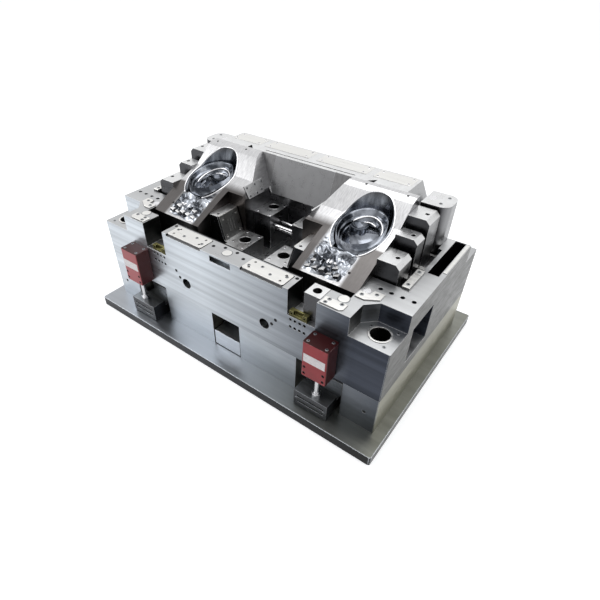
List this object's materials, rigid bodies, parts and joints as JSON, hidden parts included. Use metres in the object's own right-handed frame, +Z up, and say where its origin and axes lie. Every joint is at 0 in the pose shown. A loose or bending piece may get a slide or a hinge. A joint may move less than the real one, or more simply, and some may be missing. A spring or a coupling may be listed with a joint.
{
  "type": "injection mould half",
  "caption": "Moving half of a twin-cavity lamp mould: stepped core plate with dished lamp cores, side slides, ejector plates and red hydraulic cylinders on spacer blocks.",
  "frame": {"origin": "centre of the clamp plate's underside", "axes": "+Z up towards the parting face, X along the long front side, -Y the front with its two cylinders"},
  "size_m": [1.5, 0.972, 0.702],
  "materials": {
    "machined_steel": "milled with visible feed marks",
    "insert_steel": "fine milled and ground",
    "ground_steel": "ground",
    "polished_steel": "mirror polished, dark reflections",
    "dark_steel": "oiled dark grey steel",
    "bright_pin": "ground bright",
    "bronze": "dull olive bronze",
    "red_paint": "semi-gloss red paint"
  },
  "bodies": {
    "mould_base": {"centre_block": "insert_steel", "clamp_plate": "machined_steel", "core_plate": "machined_steel", "corner_block_left": "insert_steel", "corner_block_right": "insert_steel", "cylinder_front_left": "red_paint", "cylinder_front_right": "red_paint", "cylinder_rear_left": "red_paint", "cylinder_rear_right": "red_paint", "ejector_guides": "bright_pin", "front_pad_left": "insert_steel", "front_pad_right": "insert_steel", "guide_bush_front_left": "ground_steel", "guide_bush_front_right": "ground_steel", "guide_bush_rear_left": "ground_steel", "guide_bush_rear_right": "ground_steel", "interlock_post": "insert_steel", "lamp_block_left": "insert_steel", "lamp_block_right": "insert_steel", "lamp_core_left": "polished_steel", "lamp_core_right": "polished_steel", "pressure_discs": "ground_steel", "rear_pad_left": "insert_steel", "rear_pad_right": "insert_steel", "rear_wall": "insert_steel", "rest_buttons": "dark_steel", "side_rail_left": "machined_steel", "side_rail_right": "machined_steel", "slide_gibs_left": "ground_steel", "slide_gibs_right": "ground_steel", "spacer_front_left": "machined_steel", "spacer_front_right": "machined_steel", "spacer_rear_left": "machined_steel", "spacer_rear_right": "machined_steel", "support_pillars": "machined_steel", "water_manifolds": "bronze", "wear_plates": "ground_steel", "wedge_block_left": "insert_steel", "wedge_block_right": "insert_steel", "wedge_plates": "ground_steel"},
    "ejector": {"drive_bracket_front_left": "dark_steel", "drive_bracket_front_right": "dark_steel", "drive_bracket_rear_left": "dark_steel", "drive_bracket_rear_right": "dark_steel", "ejector_bushes": "bronze", "ejector_pins": "bright_pin", "ejector_plate": "dark_steel", "piston_rod_front_left": "bright_pin", "piston_rod_front_right": "bright_pin", "piston_rod_rear_left": "bright_pin", "piston_rod_rear_right": "bright_pin", "retainer_plate": "dark_steel", "return_pins": "bright_pin"},
    "slide_1_left": {"slide_1_left": "insert_steel"},
    "slide_1_right": {"slide_1_right": "insert_steel"},
    "slide_2_left": {"slide_2_left": "insert_steel"},
    "slide_2_right": {"slide_2_right": "insert_steel"},
    "slide_3_left": {"slide_3_left": "insert_steel"},
    "slide_3_right": {"slide_3_right": "insert_steel"}
  },
  "joints": [
    {"name": "ejector_stroke", "type": "slide", "parent": "mould_base", "child": "ejector", "axis": [0, 0, 1], "range_m": [0, 0.08]},
    {"name": "slide_1_left_travel", "type": "slide", "parent": "mould_base", "child": "slide_1_left", "axis": [-1, 0, 0], "range_m": [0, 0.018]},
    {"name": "slide_1_right_travel", "type": "slide", "parent": "mould_base", "child": "slide_1_right", "axis": [1, 0, 0], "range_m": [0, 0.018]},
    {"name": "slide_2_left_travel", "type": "slide", "parent": "mould_base", "child": "slide_2_left", "axis": [-1, 0, 0], "range_m": [0, 0.018]},
    {"name": "slide_2_right_travel", "type": "slide", "parent": "mould_base", "child": "slide_2_right", "axis": [1, 0, 0], "range_m": [0, 0.018]},
    {"name": "slide_3_left_travel", "type": "slide", "parent": "mould_base", "child": "slide_3_left", "axis": [-1, 0, 0], "range_m": [0, 0.018]},
    {"name": "slide_3_right_travel", "type": "slide", "parent": "mould_base", "child": "slide_3_right", "axis": [1, 0, 0], "range_m": [0, 0.018]}
  ]
}
